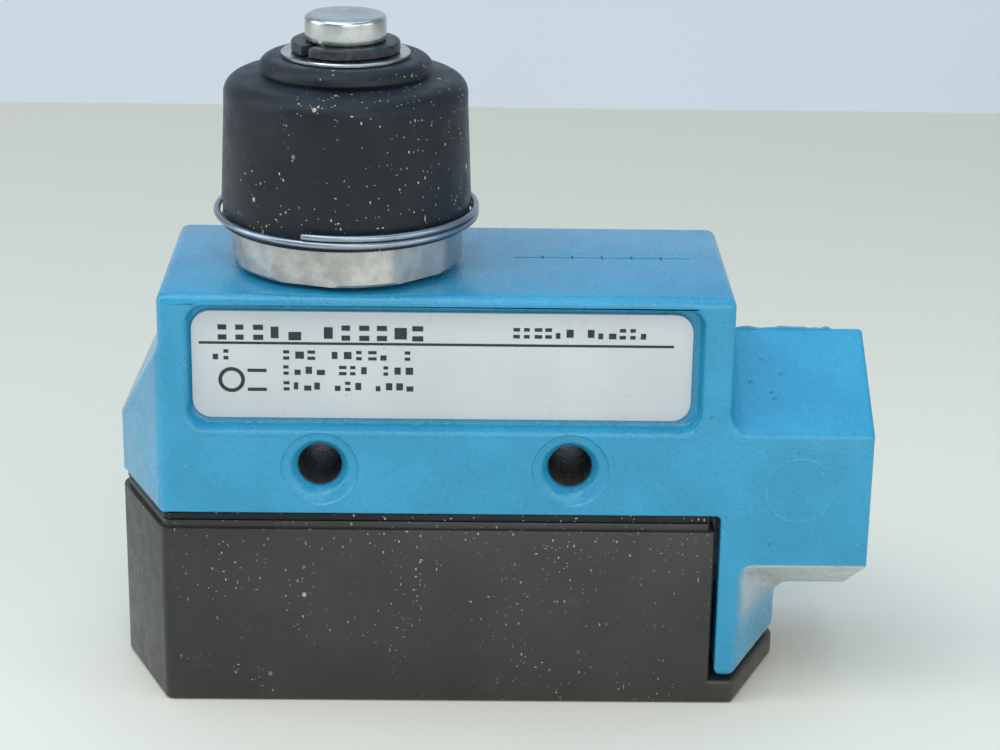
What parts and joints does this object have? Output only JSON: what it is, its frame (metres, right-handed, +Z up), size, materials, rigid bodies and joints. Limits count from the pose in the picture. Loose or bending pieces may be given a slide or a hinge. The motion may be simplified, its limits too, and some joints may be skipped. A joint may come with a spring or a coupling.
{
  "type": "limit switch",
  "caption": "Side-mount enclosed limit switch: blue cast housing, booted in-line plunger, deep black cover over a snap-action basic switch, and a conduit hub at one end.",
  "frame": {"origin": "centre of the bounding box in plan, at the level of the cover base it stands on", "axes": "+X along the housing towards the conduit hub, +Y from the nameplate face to the rear mounting face, +Z up along the plunger"},
  "size_m": [0.1017, 0.0356, 0.0918],
  "materials": {
    "blue_paint": "glossy teal-blue paint over a slightly rough casting",
    "black_cover": "satin black, fine grain",
    "black_rubber": "matt black rubber with a soft sheen",
    "bright_zinc": "bright zinc-plated steel",
    "bare_casting": "bare mottled grey metal",
    "dark_steel": "blackened spring steel",
    "spring_wire": "drawn bright wire",
    "label_film": "satin pale grey printed plate",
    "phenolic": "moulded dark brown phenolic",
    "brass": "bright brass",
    "copper_blade": "springy copper alloy",
    "red_nylon": "moulded red nylon",
    "green_screw": "green passivated steel"
  },
  "bodies": {
    "housing": {"housing": "blue_paint", "nameplate": "label_film", "plunger_bushing": "bare_casting", "bushing_seal": "black_rubber", "plunger_boot": "black_rubber", "boot_clamp_wire": "spring_wire", "return_spring": "spring_wire", "overtravel_spring": "spring_wire", "switch_case": "phenolic", "switch_cap": "phenolic", "common_terminal": "brass", "open_terminal": "brass", "closed_terminal": "brass", "common_terminal_screw": "bright_zinc", "open_terminal_screw": "bright_zinc", "closed_terminal_screw": "bright_zinc", "common_cup_washer": "brass", "open_cup_washer": "brass", "closed_cup_washer": "brass", "left_switch_screw": "bright_zinc", "right_switch_screw": "bright_zinc", "left_lock_washer": "spring_wire", "right_lock_washer": "spring_wire", "earth_screw": "green_screw", "earth_clamp": "brass"},
    "plunger": {"plunger": "bright_zinc", "retaining_ring": "dark_steel", "boot_washer": "bright_zinc", "inner_boot_washer": "bright_zinc"},
    "lower_plunger": {"lower_plunger": "bright_zinc"},
    "switch_pin": {"switch_pin": "red_nylon"},
    "contact_blade": {"contact_blade": "copper_blade"},
    "cover": {"cover": "black_cover", "cover_gasket": "black_rubber", "left_cover_screw": "bright_zinc", "right_cover_screw": "bright_zinc"}
  },
  "joints": [
    {"name": "plunger_press", "type": "slide", "parent": "housing", "child": "plunger", "axis": [0, 0, 1], "range_m": [-0.006, 0], "stiffness_N_per_m": 1500, "springref_m": 0.004, "deforming": ["plunger_boot", "return_spring", "overtravel_spring"]},
    {"name": "lower_plunger_press", "type": "slide", "parent": "housing", "child": "lower_plunger", "axis": [0, 0, 1], "range_m": [-0.0004, 0]},
    {"name": "switch_pin_press", "type": "slide", "parent": "housing", "child": "switch_pin", "axis": [0, 0, 1], "range_m": [-0.0004, 0]},
    {"name": "contact_blade_tilt", "type": "hinge", "parent": "housing", "child": "contact_blade", "pos_m": [-0.0204, 0, 0.0163], "axis": [0, 1, 0], "range_deg": [0, 5.2]},
    {"name": "cover_removal", "type": "slide", "parent": "housing", "child": "cover", "axis": [0, 0, 1], "range_m": [-0.04, 0]}
  ],
  "couplings": [
    {"joint": "lower_plunger_press", "follows": "plunger_press", "ratio": 0.06},
    {"joint": "switch_pin_press", "follows": "plunger_press", "ratio": 0.06},
    {"joint": "contact_blade_tilt", "follows": "plunger_press", "rad_per_m": -14.5}
  ]
}
